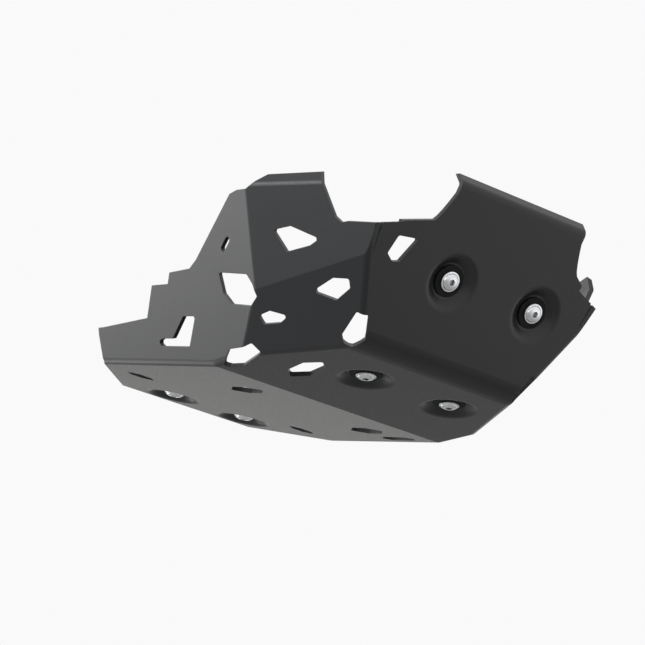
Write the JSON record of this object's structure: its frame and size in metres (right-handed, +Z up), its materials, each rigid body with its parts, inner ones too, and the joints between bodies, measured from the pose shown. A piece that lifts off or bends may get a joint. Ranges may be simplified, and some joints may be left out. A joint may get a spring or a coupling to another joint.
{
  "type": "motorcycle skid plate",
  "caption": "Folded sheet metal motorcycle skid plate with faceted sides, cut windows and rubber mounted screws.",
  "frame": {"origin": "midway between the two rear screws, on the plane where their washers meet the engine", "axes": "+X forward, +Y to the rider's left, +Z up; the belly is level"},
  "size_m": [0.4129, 0.3484, 0.1754],
  "materials": {
    "coated_aluminium": "satin black powder coat",
    "screw_steel": "bright",
    "sleeve_steel": "zinc plated",
    "bush_rubber": "matte"
  },
  "bodies": {
    "root": {"skid_plate": "coated_aluminium", "screw_front_right": "screw_steel", "screw_front_left": "screw_steel", "screw_slope_right": "screw_steel", "screw_slope_left": "screw_steel", "screw_rear_right": "screw_steel", "screw_rear_left": "screw_steel", "bush_front_right": "bush_rubber", "bush_front_left": "bush_rubber", "bush_slope_right": "bush_rubber", "bush_slope_left": "bush_rubber", "bush_rear_right": "bush_rubber", "bush_rear_left": "bush_rubber", "sleeve_front_right": "sleeve_steel", "sleeve_front_left": "sleeve_steel", "sleeve_slope_right": "sleeve_steel", "sleeve_slope_left": "sleeve_steel", "sleeve_rear_right": "sleeve_steel", "sleeve_rear_left": "sleeve_steel", "washer_front_right": "sleeve_steel", "washer_front_left": "sleeve_steel", "washer_slope_right": "sleeve_steel", "washer_slope_left": "sleeve_steel", "washer_rear_right": "sleeve_steel", "washer_rear_left": "sleeve_steel"}
  },
  "joints": []
}
